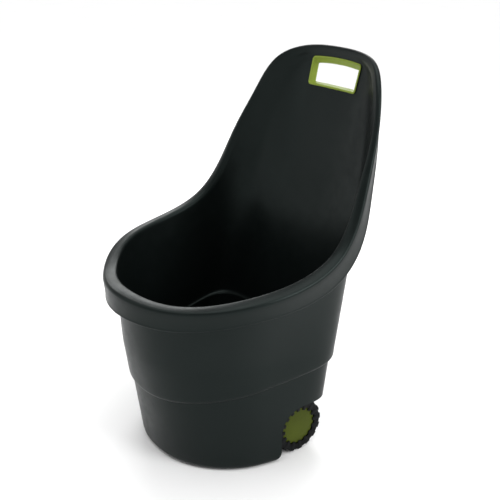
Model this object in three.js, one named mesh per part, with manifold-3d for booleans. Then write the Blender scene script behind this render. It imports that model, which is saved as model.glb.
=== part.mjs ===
// Wheeled tub cart for carrying firewood: one moulded tub with a tall leaning back
// panel, a snapped-in hand grip, and two small wheels on a steel axle.
// Millimetres, +Z up. The low lip faces -Y, the back panel and the wheels are at +Y.
import * as THREE from 'three';
import { mergeVertices } from 'three/addons/utils/BufferGeometryUtils.js';
import Module from 'manifold-3d';

const wasm = await Module();
wasm.setup();

// ---------- driving dimensions ----------
const WALL = 3.4;                         // moulded wall
const BASE_HALF_W = 196.6;                // plan of the body at the floor
const BASE_FRONT = -211.2;
const BASE_REAR = 102.2;
const DRAFT_FRONT = 0.141;                // growth of the plan per mm of height
const DRAFT_REAR = 0.171;
const PLAN_N_FRONT = 2.22;                // superellipse powers: round front, square back
const PLAN_N_REAR = 5.36;
const PLAN_TAPER = 0.183;
const BASE_ROUND = 14;
const STEP_Z = 200.8;                     // ledge round the body
const STEP_SLOPE = 0.146;
const STEP_OUT = 6.1;
const STEP_RISE = 9;
const FLARE_FROM = 250;                   // above here the wall leans out to meet the rim
const FLARE_POWER = 1.25;
const DISH = 11;                          // the back panel is dished behind its rim
const DISH_FROM = 450;
const DISH_RISE = 150;
const DISH_TOP = { start: 4, run: 24 };   // it starts this far below the rim
const DISH_SIDE = { start: 14, run: 56 }; // and this far in from it
// rim line, front centre to top centre of one side: x, y, z, flange width, skirt depth
const RIM = [
  [0, -256.3, 408.8, 31.9, 49.5],
  [115.9, -222.5, 406.5, 27.2, 46.5],
  [218.5, -113.4, 430.2, 28, 45.2],
  [236, 75.3, 477.7, 25.8, 54.1],
  [222.2, 158.1, 608.3, 18.5, 36.1],
  [202.4, 212.1, 719.4, 9.6, 19.2],
  [164.4, 248.6, 799.8, 8.3, 11.7],
  [98.2, 283.1, 831.6, 7.5, 10.8],
  [0, 292.3, 838.5, 8.1, 10.9],
];
const RIM_EDGE_R = 7;                     // outer edge of the rim
const RIM_ROLL_R = 9;                     // inner roll of the rim
const RIM_ENTRY = 14;                     // the wall rows end this far from the rim
const TOP_ROWS = 7;                       // spacing of the last two rows
const SKIRT_LEAN = -0.06;
const HALF_COLUMNS = 40;                  // columns round half of the tub
const WALL_ROWS = 9;
const RIM_BEND = 0.45;                    // share of the rim before it climbs the back

const AXLE_Y = 42.3;
const AXLE_R = 5;
const AXLE_HALF = 188.5;
const RUN = 0.3;                          // running clearance
const TYRE_R = 61.8;
const AXLE_Z = TYRE_R;
const TYRE_HALF = 21;
const WHEEL_X = 173;                      // middle plane of the wheel
const LUGS = 16;
const LUG_H = 2.6;
const TOOTH_R = 39.2;                     // teeth that hold the hub cover
const LIP_R = 44.6;
const COVER_R = 43.4;
const CORE_R = 47.2;
const WHEEL_RIBS = 6;

const BAY_FRONT = -31;                    // wheel bay under the rear of the tub
const BAY_ROOF = 141;
const BAY_ARC = { y: 27, z: 84, r: 58 };
const ARCH = { front: -15, y: 45, z: 68, r: 60, top: 128.5, toeR: 24, toeZ: 26 };
const RIB_X = [-121, -46, 46, 121];
const RIB_HALF = 2;
const BOSS_R = 13;
const BOSS_FROM = 110;
const BOSS_TO = 138;

const GRIP = { z: 778.3, halfTop: 77.9, halfBot: 76.5, halfH: 32, arch: 3.6, corner: 9, depth: 10 };
const HOLE_IN = 4.2;                      // the panel's hole inside the grip's outline
const GRIP_GAP = 0.7;
const BARB_X = 40;
const BARB_HALF = 7;

// ---------- solids ----------
const v3 = (x, y, z) => new THREE.Vector3(x, y, z);
const lerp = (a, b, u) => a + (b - a) * u;
const clamp = (v, a, b) => Math.min(Math.max(v, a), b);
const smooth = (u) => u * u * (3 - 2 * u);
const radians = (d) => d * Math.PI / 180;

function bare(geometry) {
  const g = new THREE.BufferGeometry();
  g.setAttribute('position', geometry.getAttribute('position'));
  if (geometry.index) g.setIndex(geometry.index);
  return mergeVertices(g, 1e-4);
}

function toSolid(geometry) {
  const g = bare(geometry);
  return new wasm.Manifold(new wasm.Mesh({
    numProp: 3,
    vertProperties: new Float32Array(g.getAttribute('position').array),
    triVerts: new Uint32Array(g.index.array),
  }));
}

function fromSolid(solid) {
  const mesh = solid.getMesh();
  const count = mesh.vertProperties.length / mesh.numProp;
  const pos = new Float32Array(count * 3);
  for (let i = 0; i < count; i++) {
    for (let k = 0; k < 3; k++) pos[3 * i + k] = mesh.vertProperties[i * mesh.numProp + k];
  }
  const g = new THREE.BufferGeometry();
  g.setAttribute('position', new THREE.BufferAttribute(pos, 3));
  g.setIndex(Array.from(mesh.triVerts));
  g.computeVertexNormals();
  return g;
}

// turns every face outward, judged by the signed volume
function faceOut(g) {
  const p = g.getAttribute('position');
  const ix = g.index.array;
  const [a, b, c] = [v3(), v3(), v3()];
  let volume = 0;
  for (let i = 0; i < ix.length; i += 3) {
    a.fromBufferAttribute(p, ix[i]);
    b.fromBufferAttribute(p, ix[i + 1]);
    c.fromBufferAttribute(p, ix[i + 2]);
    volume += a.dot(b.cross(c));
  }
  if (volume < 0) {
    const flipped = [];
    for (let i = 0; i < ix.length; i += 3) flipped.push(ix[i], ix[i + 2], ix[i + 1]);
    g.setIndex(flipped);
  }
  g.computeVertexNormals();
  return g;
}

// Closed skin from rows[i][j]: i runs round a loop and j along a profile. A capped
// profile starts and ends on poles that all rows share; another closes on itself.
function skin(rows, capped) {
  const n = rows.length;
  const k = rows[0].length;
  const inner = k - 2;
  const points = capped
    ? [rows[0][0], rows[0][k - 1], ...rows.flatMap((r) => r.slice(1, -1))]
    : rows.flat();
  const id = (i, j) => {
    if (!capped) return (i % n) * k + (j % k);
    if (j === 0) return 0;
    if (j === k - 1) return 1;
    return 2 + (i % n) * inner + j - 1;
  };
  const index = [];
  const tri = (a, b, c) => {
    if (a !== b && b !== c && a !== c) index.push(a, b, c);
  };
  for (let i = 0; i < n; i++) {
    for (let j = 0; j < (capped ? k - 1 : k); j++) {
      tri(id(i, j), id(i + 1, j), id(i + 1, j + 1));
      tri(id(i, j), id(i + 1, j + 1), id(i, j + 1));
    }
  }
  const g = new THREE.BufferGeometry();
  const flat = new Float32Array(points.flatMap((p) => p.toArray()));
  g.setAttribute('position', new THREE.BufferAttribute(flat, 3));
  g.setIndex(index);
  return faceOut(g);
}

// prism along X from an outline of [y, z]
function prismX(outline, x0, x1) {
  const shape = new THREE.Shape(outline.map(([y, z]) => new THREE.Vector2(y, z)));
  const g = new THREE.ExtrudeGeometry(shape, { depth: x1 - x0, bevelEnabled: false, steps: 1 });
  g.applyMatrix4(new THREE.Matrix4().set(0, 0, 1, x0, 1, 0, 0, 0, 0, 1, 0, 0, 0, 0, 0, 1));
  return g;
}

// turned shape round the axle, from a profile of [radius, x]
function turned(profile, segments, sign = 1) {
  const points = profile.map(([r, x]) => new THREE.Vector2(r, x * sign));
  const g = new THREE.LatheGeometry(points, segments);
  g.applyMatrix4(new THREE.Matrix4().set(0, 1, 0, 0, 1, 0, 0, AXLE_Y, 0, 0, -1, AXLE_Z, 0, 0, 0, 1));
  return faceOut(bare(g));
}

const rod = (r, x0, x1, sign = 1) => turned([[0, x0], [r, x0], [r, x1], [0, x1]], 24, sign);

function arc(y, z, r, from, to, steps) {
  return Array.from({ length: steps + 1 }, (_, i) => {
    const a = radians(lerp(from, to, i / steps));
    return [y + r * Math.cos(a), z + r * Math.sin(a)];
  });
}

// ---------- body surface ----------
const signedPower = (v, e) => Math.sign(v) * Math.abs(v) ** e;

// point of the plan outline at height z, pushed out by o
function planPoint(theta, z, o) {
  const w = BASE_HALF_W + o;
  const front = BASE_FRONT - DRAFT_FRONT * z - o;
  const rear = BASE_REAR + DRAFT_REAR * z + o;
  const s = Math.sin(theta);
  const n = s < 0 ? PLAN_N_FRONT : PLAN_N_REAR;
  const sy = signedPower(s, 2 / n);
  const x = w * signedPower(Math.cos(theta), 2 / n) * (1 + PLAN_TAPER * sy);
  return [x, (front + rear) / 2 + (rear - front) / 2 * sy];
}

// distance from the Z axis to the plan outline at a bearing measured from -Y
function planRadius(bearing, z, o) {
  let lo = -Math.PI / 2;
  let hi = Math.PI / 2;
  for (let i = 0; i < 44; i++) {
    const mid = (lo + hi) / 2;
    const [x, y] = planPoint(mid, z, o);
    if (Math.atan2(x, -y) < Math.abs(bearing)) lo = mid;
    else hi = mid;
  }
  return Math.hypot(...planPoint((lo + hi) / 2, z, o));
}

// periodic cubic spline through the rim points of both sides
const rimLoop = [...RIM, ...RIM.slice(1, -1).reverse().map(([x, ...rest]) => [-x, ...rest])];
const knots = [0];
rimLoop.forEach((a, i) => {
  const b = rimLoop[(i + 1) % rimLoop.length];
  knots.push(knots[i] + Math.sqrt(Math.hypot(b[0] - a[0], b[1] - a[1], b[2] - a[2])));
});

function periodicSpline(values) {
  const n = values.length;
  const h = values.map((_, i) => knots[i + 1] - knots[i]);
  const bend = new Array(n).fill(0);
  for (let pass = 0; pass < 400; pass++) {
    for (let i = 0; i < n; i++) {
      const before = (i + n - 1) % n;
      const after = (i + 1) % n;
      const slope = (values[after] - values[i]) / h[i] - (values[i] - values[before]) / h[before];
      bend[i] = (6 * slope - h[before] * bend[before] - h[i] * bend[after]) / (2 * (h[before] + h[i]));
    }
  }
  return (at) => {
    const t = ((at % knots[n]) + knots[n]) % knots[n];
    let i = 0;
    while (i < n - 1 && t > knots[i + 1]) i++;
    const after = (i + 1) % n;
    const a = (knots[i + 1] - t) / h[i];
    const b = 1 - a;
    const curve = (a ** 3 - a) * bend[i] + (b ** 3 - b) * bend[after];
    return a * values[i] + b * values[after] + curve * h[i] * h[i] / 6;
  };
}

const [rimX, rimY, rimZ, rimFlange, rimSkirt] = [0, 1, 2, 3, 4]
  .map((k) => periodicSpline(rimLoop.map((p) => p[k])));
const topAt = knots[RIM.length - 1];
const SAMPLES = 720;
const rimTable = Array.from({ length: SAMPLES + 1 }, (_, i) => {
  const t = topAt * i / SAMPLES;
  const bearing = i === SAMPLES ? Math.PI : Math.atan2(Math.max(rimX(t), 0), -rimY(t));
  return { t, p: v3(rimX(t), rimY(t), rimZ(t)), bearing, length: 0 };
});
for (let i = 1; i <= SAMPLES; i++) {
  rimTable[i].length = rimTable[i - 1].length + rimTable[i].p.distanceTo(rimTable[i - 1].p);
}

// reads a table of rows sorted by one key, giving another key's value
function lookUp(table, key, value, out) {
  let lo = 0;
  let hi = table.length - 1;
  while (hi - lo > 1) {
    const mid = (lo + hi) >> 1;
    if (table[mid][key] <= value) lo = mid;
    else hi = mid;
  }
  const [a, b] = [table[lo], table[hi]];
  const share = b[key] > a[key] ? clamp((value - a[key]) / (b[key] - a[key]), 0, 1) : 0;
  return lerp(a[out], b[out], share);
}

const backRim = rimTable.filter(({ p }) => p.z > DISH_FROM).map(({ p }) => ({ z: p.z, x: p.x }));
const onset = (v) => smooth(clamp(v, 0, 1));

// wall point at a bearing (0 at the front) and height z, o outside the lower body
function bodyPoint(bearing, z, o, dish = DISH) {
  const m = Math.min(Math.abs(bearing), 2 * Math.PI - Math.abs(bearing));
  const t = lookUp(rimTable, 'bearing', m, 't');
  const top = rimZ(t);
  const gap = Math.hypot(rimX(t), rimY(t)) - planRadius(m, top, STEP_OUT);
  const u = clamp((z - FLARE_FROM) / (top - FLARE_FROM), 0, 1.1);
  let r = planRadius(m, z, o) + gap * u ** FLARE_POWER;
  if (dish && z > DISH_FROM) {
    const side = lookUp(backRim, 'z', z, 'x') - r * Math.sin(m);
    r += dish * onset((z - DISH_FROM) / DISH_RISE)
      * onset((top - z - DISH_TOP.start) / DISH_TOP.run)
      * onset((side - DISH_SIDE.start) / DISH_SIDE.run);
  }
  return v3(r * Math.sin(bearing), -r * Math.cos(bearing), z);
}

// Columns share an index between the base and the rim, so they fan out up the back.
const girth = [];
for (let i = 0; i <= 360; i++) {
  const bearing = Math.PI * i / 360;
  const r = planRadius(bearing, STEP_Z, 0);
  const p = v3(r * Math.sin(bearing), -r * Math.cos(bearing), 0);
  girth.push({ bearing, p, length: i ? girth[i - 1].length + p.distanceTo(girth[i - 1].p) : 0 });
}
const rimLength = rimTable[SAMPLES].length;
const bendBearing = lookUp(rimTable, 'length', rimLength * RIM_BEND, 'bearing');
const bendGirth = lookUp(girth, 'bearing', bendBearing, 'length');

function baseBearing(share, rimBearing) {
  if (share >= 1) return Math.PI;
  if (share < RIM_BEND) return rimBearing;
  const at = lerp(bendGirth, girth[360].length, (share - RIM_BEND) / (1 - RIM_BEND));
  return lookUp(girth, 'length', at, 'bearing');
}

// The rim's frame at a share of its half length: point, outward and downward axes.
function rimFrame(share) {
  const t = share >= 1 ? topAt : lookUp(rimTable, 'length', rimLength * share, 't');
  const point = v3(rimX(t), rimY(t), rimZ(t));
  const bearing = share >= 1 ? Math.PI : Math.max(Math.atan2(point.x, -point.y), 0);
  const [a, b] = [t - 0.02, t + 0.02];
  const along = v3(rimX(b) - rimX(a), rimY(b) - rimY(a), rimZ(b) - rimZ(a)).normalize();
  const wall = (db, dz) => bodyPoint(bearing + db, point.z + dz, STEP_OUT, 0);
  const across = wall(0.01, -4).sub(wall(-0.01, -4));
  const normal = across.cross(wall(0, -4).sub(wall(0, -10))).normalize();
  if (normal.x * point.x + normal.y * point.y < 0) normal.negate();
  const out = normal.addScaledVector(along, -normal.dot(along)).normalize();
  const down = along.clone().cross(out).normalize();
  return { point, bearing, out, down, flange: rimFlange(t), skirt: rimSkirt(t) };
}

// One closed wall section, from the middle of the base up the outside, over the rim
// and down the inside to the middle of the floor.
function column(share, side) {
  const { point, bearing, out, down, flange, skirt } = rimFrame(share);
  const base = baseBearing(share, bearing);
  const profile = [];
  const at = (z, o) => profile.push(bodyPoint(base, z, o));
  const edge = (a, w) => profile.push(point.clone().addScaledVector(out, a).addScaledVector(down, w));
  const step = STEP_Z + STEP_SLOPE * bodyPoint(base, STEP_Z, 0).y;
  const wallFrom = step + STEP_RISE;
  const tangent = v3(Math.cos(bearing), Math.sin(bearing), 0);
  const turn = RIM_ENTRY * down.dot(tangent) / Math.hypot(point.x, point.y);
  const wallTo = point.z + RIM_ENTRY * down.z;
  const row = (i, o) => {
    const u = 1 - (1 - Math.min(i / (WALL_ROWS - 2), 1)) ** 1.5;
    const left = Math.min(WALL_ROWS - i, 2);
    const z = left < 2 ? wallTo - TOP_ROWS * left : lerp(wallFrom, wallTo - TOP_ROWS * 2, u);
    const share = (z - wallFrom) / (wallTo - wallFrom);
    return bodyPoint(base + (bearing + turn - base) * smooth(share), z, o);
  };
  const fillet = Math.min(5, (flange - WALL) * 0.42);
  const roll = Math.min(RIM_ROLL_R, (flange + WALL) * 0.5);
  const round = Math.min(RIM_EDGE_R, flange * 0.4);
  const lean = SKIRT_LEAN * skirt;
  const middle = (BASE_FRONT + BASE_REAR) / 2;

  profile.push(v3(0, middle, 0));
  at(0, -BASE_ROUND);
  at(BASE_ROUND * 0.13, -BASE_ROUND * 0.5);
  at(BASE_ROUND * 0.5, -BASE_ROUND * 0.13);
  at(BASE_ROUND, 0);
  at(step * 0.5, 0);
  at(step, 0);
  at(step + 0.5, STEP_OUT * 0.37);
  at(step + 2, STEP_OUT * 0.73);
  at(step + 4.8, STEP_OUT * 0.93);
  at(wallFrom, STEP_OUT);
  for (let i = 1; i <= WALL_ROWS; i++) profile.push(row(i, STEP_OUT));
  edge(0, WALL + fillet);
  edge(fillet * 0.3, WALL + fillet * 0.3);
  edge(fillet, WALL);
  edge(flange - WALL, WALL);
  edge(flange - WALL + lean, skirt - 1);
  edge(flange - WALL / 2 + lean, skirt);
  edge(flange + lean, skirt - 1.2);
  edge(flange, round);
  edge(flange - round * 0.3, round * 0.3);
  edge(flange - round, 0);
  edge(roll - WALL, 0);
  edge(roll * 0.5 - WALL, roll * 0.13);
  edge(roll * 0.13 - WALL, roll * 0.5);
  edge(-WALL, roll);
  for (let i = WALL_ROWS; i >= 1; i--) profile.push(row(i, STEP_OUT - WALL));
  at(wallFrom - 0.5, STEP_OUT - WALL);
  at(step + 3.2, STEP_OUT * 0.73 - WALL);
  at(step - 1, 0.4 - WALL);
  at(step * 0.5, -WALL);
  at(WALL + 12, -WALL);
  at(WALL + 3.5, -WALL - 3.5);
  at(WALL + 0.4, -WALL - 12);
  profile.push(v3(0, middle, WALL));
  return profile.map((p) => v3(p.x * side, p.y, p.z));
}

// plain solid of the body's lower part, o outside it
function bodySolid(o, z0, z1) {
  const round = z0 < 0 ? 0 : BASE_ROUND;
  const rows = Array.from({ length: 2 * HALF_COLUMNS }, (_, i) => {
    const bearing = Math.PI * (i / HALF_COLUMNS - 1);
    const at = (z, inset) => {
      const p = bodyPoint(bearing, Math.max(z, 0), o - inset);
      return p.setZ(z);
    };
    const lower = [at(z0, round)];
    if (round) lower.push(at(round * 0.13, round * 0.5), at(round * 0.5, round * 0.13), at(round, 0));
    return [v3(0, -50, z0), ...lower, at(z1, 0), v3(0, -50, z1)];
  });
  return toSolid(skin(rows, true));
}

// ---------- back panel hole and grip ----------
// y of the panel at x and z
function panelY(x, z, o) {
  let lo = Math.PI * 0.7;
  let hi = Math.PI;
  for (let i = 0; i < 40; i++) {
    const mid = (lo + hi) / 2;
    if (bodyPoint(mid, z, o).x > Math.abs(x)) lo = mid;
    else hi = mid;
  }
  return bodyPoint((lo + hi) / 2, z, o).y;
}

const INSIDE = STEP_OUT - WALL;
const gripLean = Math.atan((panelY(0, GRIP.z + 25, INSIDE) - panelY(0, GRIP.z - 25, INSIDE)) / 50);
const gripBack = v3(0, Math.cos(gripLean), -Math.sin(gripLean));

// rounded trapezoid with an arched top
function handOutline(inset, drop = 0, rise = 0) {
  const [top, bottom] = [GRIP.halfTop - inset, GRIP.halfBot - inset];
  const high = GRIP.halfH - inset - drop;
  const low = -GRIP.halfH + inset + rise;
  const r = Math.max(GRIP.corner - inset, 3.5);
  const corner = high + GRIP.arch * 0.2;
  const shape = new THREE.Shape();
  shape.moveTo(-bottom + r, low);
  shape.lineTo(bottom - r, low);
  shape.quadraticCurveTo(bottom, low, bottom, low + r);
  shape.lineTo(top, high - r);
  shape.quadraticCurveTo(top, high, top - r, corner);
  shape.quadraticCurveTo(0, high + GRIP.arch * 2, -top + r, corner);
  shape.quadraticCurveTo(-top, high, -top, high - r);
  shape.lineTo(-bottom, low + r);
  shape.quadraticCurveTo(-bottom, low, -bottom + r, low);
  const points = shape.getPoints(5);
  points.pop();
  return points;
}

// point x across and v up the panel from the grip's middle, w behind its face
function onPanel(x, v, w) {
  const z = GRIP.z + v * Math.cos(gripLean);
  return v3(x, panelY(x, z, INSIDE), z).addScaledVector(gripBack, w);
}

// ---------- tub ----------
function bayOutline(g) {
  const front = arc(BAY_ARC.y, BAY_ARC.z, BAY_ARC.r + g, 180, 96, 7);
  const capped = front.map(([y, z]) => [y, Math.min(z, BAY_ROOF + g)]);
  return [[BAY_FRONT - g, -20], ...capped, [30, BAY_ROOF + g], [330, BAY_ROOF + g], [330, -20]];
}

function archOutline() {
  const toe = arc(ARCH.front - ARCH.toeR, ARCH.toeZ, ARCH.toeR, -90, 0, 5);
  const hoop = arc(ARCH.y, ARCH.z, ARCH.r, 180, 96, 8);
  return [[toe[0][0] - 2, -20], ...toe, ...hoop, [70, ARCH.top], [330, ARCH.top + 0.6], [330, -20]];
}

function ribOutline() {
  const foot = arc(AXLE_Y, AXLE_Z, BOSS_R, 228, 360, 8);
  const top = BAY_ROOF + 2;
  return [[BAY_FRONT - 2, top], [BAY_FRONT - 2, 46], ...foot, [AXLE_Y + 26, 100], [AXLE_Y + 50, top]];
}

function makeTub() {
  const columns = [];
  for (let i = 0; i <= HALF_COLUMNS; i++) columns.push(column(i / HALF_COLUMNS, 1));
  for (let i = HALF_COLUMNS - 1; i >= 1; i--) columns.push(column(i / HALF_COLUMNS, -1));
  const bayWall = toSolid(prismX(bayOutline(WALL), -260, 260)).intersect(bodySolid(-0.6, 0.01, 190));
  const bayHollow = toSolid(prismX(bayOutline(0), -260, 260)).intersect(bodySolid(-WALL, -30, 188));
  const bayInside = toSolid(prismX(bayOutline(WALL / 2), -200, 200));
  let tub = toSolid(skin(columns, true)).add(bayWall).subtract(bayHollow);
  tub = tub.subtract(toSolid(prismX(archOutline(), -300, 300)));
  for (const x of RIB_X) {
    const rib = toSolid(prismX(ribOutline(), x - RIB_HALF, x + RIB_HALF));
    tub = tub.add(rib.intersect(bayInside));
  }
  for (const sign of [-1, 1]) tub = tub.add(toSolid(rod(BOSS_R, BOSS_FROM, BOSS_TO, sign)));
  tub = tub.subtract(toSolid(rod(AXLE_R + RUN, -BOSS_TO - 5, BOSS_TO + 5)));
  const hole = handOutline(HOLE_IN).map((p) => [
    onPanel(0, 0, -25), onPanel(p.x, p.y, -25), onPanel(p.x, p.y, 30), onPanel(0, 0, 30),
  ]);
  return fromSolid(tub.subtract(toSolid(skin(hole, true))));
}

// front flange, sleeve through the hole, and four snap barbs behind the panel
function makeGrip() {
  const loops = [
    [handOutline(0), -GRIP_GAP], [handOutline(0), -1.9], [handOutline(1.1), -2.9], [handOutline(3.4), -2.9],
    [handOutline(4.8, 0.4), -1.8], [handOutline(7.5, 2, -0.8), 3], [handOutline(10, 3.4, -1.3), 6.4],
    [handOutline(10.5, 3.5, -1.4), 8], [handOutline(9.8, 3.6, -1.2), GRIP.depth],
    [handOutline(HOLE_IN + 0.5), GRIP.depth],
    [handOutline(HOLE_IN + 0.5), -GRIP_GAP],
  ];
  const rows = loops[0][0].map((_, i) => loops.map(([o, w]) => onPanel(o[i].x, o[i].y, w)));
  let grip = toSolid(skin(rows, false));
  for (const x of [-BARB_X, BARB_X]) {
    for (const s of [-1, 1]) {
      const foot = s * (GRIP.halfH - HOLE_IN - 1.5) + (s > 0 ? GRIP.arch * 0.85 : 0);
      const barb = [[0, 3.9], [s * 3.2, 3.9], [s * 0.8, 9.5], [0, 9.5]];
      const ends = [-BARB_HALF, BARB_HALF]
        .map((dx) => barb.map(([v, w]) => onPanel(x + dx, foot + v, w)));
      const middle = ends.map((end) => onPanel(x, foot, 0).setX(end[0].x).lerp(end[2], 0.5));
      const rows = barb.map((_, i) => [middle[0], ends[0][i], ends[1][i], middle[1]]);
      grip = grip.add(toSolid(skin(rows, true)));
    }
  }
  return fromSolid(grip);
}

// ---------- wheels: x is measured from the wheel's middle plane, outward ----------
const outward = (profile) => profile.map(([r, x]) => [r, x + WHEEL_X]);

// staggered half-width lugs, and teeth over the edge of the hub cover
function makeTyre(sign) {
  const rows = [];
  const per = 4;
  const shift = [0, 0.25, 0, 0.25];
  for (let i = 0; i < LUGS * per; i++) {
    const a = 2 * Math.PI * (i + shift[i % per]) / (LUGS * per);
    const outer = i % per < 2;
    const outR = outer ? TYRE_R : TYRE_R - LUG_H;
    const inR = outer ? TYRE_R - LUG_H : TYRE_R;
    const lip = outer ? TOOTH_R : LIP_R;
    const profile = [
      [CORE_R + 0.4, 0.5 - TYRE_HALF], [inR - 2.5, -TYRE_HALF], [inR, 3 - TYRE_HALF], [inR, -1.2],
      [outR, 1.2], [outR, TYRE_HALF - 3], [outR - 2.5, TYRE_HALF], [lip, TYRE_HALF],
      [lip, TYRE_HALF - 2.6], [CORE_R + 0.4, TYRE_HALF - 2.6],
    ];
    rows.push(outward(profile).map(([r, x]) =>
      v3(sign * x, AXLE_Y + r * Math.cos(a), AXLE_Z + r * Math.sin(a))));
  }
  return skin(rows, false);
}

// hub tube, web with ribs and lightening holes, and the ring that carries the tyre
function makeCore(sign) {
  const bore = AXLE_R + RUN;
  const profile = [
    [bore, -32], [12, -32], [13.5, -9], [40, -7], [43, -19.5], [CORE_R, -19.5], [CORE_R, 15],
    [CORE_R - 3.2, 15], [43.6, 0], [13.5, -2], [12, 9], [bore, 9], [bore, -32],
  ];
  let core = toSolid(turned(outward(profile), 36, sign));
  for (let i = 0; i < WHEEL_RIBS; i++) {
    const rib = new THREE.BoxGeometry(10, 3, 28);
    rib.translate(sign * (WHEEL_X - 12), 0, 27.5);
    rib.rotateX(2 * Math.PI * i / WHEEL_RIBS);
    core = core.add(toSolid(rib.translate(0, AXLE_Y, AXLE_Z)));
  }
  for (let i = 0; i < WHEEL_RIBS; i++) {
    const hole = new THREE.CylinderGeometry(7, 7, 22, 14);
    hole.rotateZ(Math.PI / 2);
    hole.translate(sign * (WHEEL_X - 6), 0, 27);
    hole.rotateX(2 * Math.PI * (i + 0.5) / WHEEL_RIBS);
    core = core.subtract(toSolid(hole.translate(0, AXLE_Y, AXLE_Z)));
  }
  return fromSolid(core);
}

function makeCover(sign) {
  const profile = [
    [0, 19.3], [22, 19.1], [34, 18.6], [38.4, 18], [COVER_R, 17.6], [COVER_R, 10], [41.6, 10],
    [41.6, 16.2], [0, 16.8],
  ];
  return turned(outward(profile), 40, sign);
}

function makeWasher(r, x0, x1, sign) {
  const bore = AXLE_R + RUN;
  return turned(outward([[bore, x0], [r, x0], [r, x1], [bore, x1], [bore, x0]]), 24, sign);
}

function makePushNut(sign) {
  const bore = AXLE_R + RUN;
  const profile = [[bore, 11.4], [9, 11.4], [9, 12.4], [6.6, 14.6], [bore, 14.6], [bore, 11.4]];
  return turned(outward(profile), 24, sign);
}

// ---------- assembly ----------
const material = (name, color, roughness, metalness = 0) =>
  new THREE.MeshStandardMaterial({ name, color, roughness, metalness });
const TUB_PLASTIC = material('tub_plastic', 0x25282a, 0.55);
const GRIP_LIME = material('grip_lime', 0x9cb84e, 0.5);
const AXLE_STEEL = material('axle_steel', 0xa7a9ab, 0.35, 1);
const WHEEL_BLACK = material('wheel_plastic', 0x16181a, 0.6);
const TYRE_BLACK = material('tyre_black', 0x0e1113, 0.8);
const HUB_LIME = material('hub_lime', 0x8ba046, 0.5);

const cart = new THREE.Group();
function put(name, geometry, finish) {
  const mesh = new THREE.Mesh(geometry, finish);
  mesh.name = name;
  cart.add(mesh);
}
put('tub', makeTub(), TUB_PLASTIC);
put('grip_insert', makeGrip(), GRIP_LIME);
put('axle', rod(AXLE_R, -AXLE_HALF, AXLE_HALF), AXLE_STEEL);
for (const [side, sign] of [['left', -1], ['right', 1]]) {
  put('inner_washer_' + side, makeWasher(11, -34.5, -32.5, sign), AXLE_STEEL);
  put('wheel_core_' + side, makeCore(sign), WHEEL_BLACK);
  put('tyre_' + side, makeTyre(sign), TYRE_BLACK);
  put('outer_washer_' + side, makeWasher(10, 9.5, 11, sign), AXLE_STEEL);
  put('push_nut_' + side, makePushNut(sign), AXLE_STEEL);
  put('hub_cover_' + side, makeCover(sign), HUB_LIME);
}

// the origin is the middle of the footprint box, on the floor
const box = new THREE.Box3().setFromObject(cart);
for (const mesh of cart.children) {
  mesh.geometry.translate(0, -(box.min.y + box.max.y) / 2, -box.min.z);
}
export default cart;
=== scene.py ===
"""Looks for the wheeled log cart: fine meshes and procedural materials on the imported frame."""
import math

import bmesh
import bpy
import numpy as np
from mathutils import Matrix, Vector


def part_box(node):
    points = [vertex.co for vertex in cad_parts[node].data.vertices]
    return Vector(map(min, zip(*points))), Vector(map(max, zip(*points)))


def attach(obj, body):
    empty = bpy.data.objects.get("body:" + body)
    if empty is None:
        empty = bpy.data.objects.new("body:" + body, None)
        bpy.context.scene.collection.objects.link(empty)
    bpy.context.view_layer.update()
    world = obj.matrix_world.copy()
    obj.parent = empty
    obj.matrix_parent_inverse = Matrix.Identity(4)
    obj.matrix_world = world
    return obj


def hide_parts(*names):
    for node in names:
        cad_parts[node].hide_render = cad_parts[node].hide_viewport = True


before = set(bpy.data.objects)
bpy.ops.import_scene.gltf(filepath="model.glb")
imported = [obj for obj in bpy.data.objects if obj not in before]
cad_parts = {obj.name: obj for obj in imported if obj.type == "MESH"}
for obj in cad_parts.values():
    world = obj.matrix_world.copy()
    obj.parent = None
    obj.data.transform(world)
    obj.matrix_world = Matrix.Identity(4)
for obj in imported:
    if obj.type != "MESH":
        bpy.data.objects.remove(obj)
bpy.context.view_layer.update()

# ---------------------------------------------------------------- dimensions, mm
WALL = 3.4
BASE_HALF_W, BASE_FRONT, BASE_REAR = 196.6, -211.2, 102.2
DRAFT_FRONT, DRAFT_REAR = 0.141, 0.171
PLAN_N_FRONT, PLAN_N_REAR, PLAN_TAPER = 2.22, 5.36, 0.183
BASE_ROUND = 14.0
STEP_Z, STEP_SLOPE, STEP_OUT = 200.8, 0.146, 6.1
FLARE_FROM, FLARE_POWER = 250.0, 1.25
DISH, DISH_FROM, DISH_RISE = 11.0, 450.0, 150.0
DISH_TOP, DISH_TOP_RUN = 4.0, 24.0
DISH_SIDE, DISH_SIDE_RUN = 14.0, 56.0
RIM_EDGE_R, RIM_ROLL_R, RIM_ENTRY = 7.0, 9.0, 14.0
RIM = [                                   # x, y, z, flange width, skirt depth
    (0, -256.3, 408.8, 31.9, 49.5), (115.9, -222.5, 406.5, 27.2, 46.5), (218.5, -113.4, 430.2, 28, 45.2),
    (236, 75.3, 477.7, 25.8, 54.1), (222.2, 158.1, 608.3, 18.5, 36.1), (202.4, 212.1, 719.4, 9.6, 19.2),
    (164.4, 248.6, 799.8, 8.3, 11.7), (98.2, 283.1, 831.6, 7.5, 10.8), (0, 292.3, 838.5, 8.1, 10.9),
]
AXLE_Y, AXLE_Z, AXLE_R, AXLE_HALF = 42.3, 61.8, 5.0, 188.5
TYRE_R, LUG_H, LUGS, TYRE_OUT, TYRE_IN = 61.8, 2.6, 16, 194.0, 152.0
WHEEL_X, TOOTH_R, LIP_R, COVER_R, COVER_BACK = 173.0, 39.2, 44.6, 43.4, 183.0
CORE_IN, CORE_OUT, CORE_R, SPOKES, WEB_HOLE_R, WEB_HOLE_AT = 141.0, 182.0, 47.2, 6, 7.0, 27.0
BAY_FRONT, BAY_ROOF = -31.0, 141.0
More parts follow.
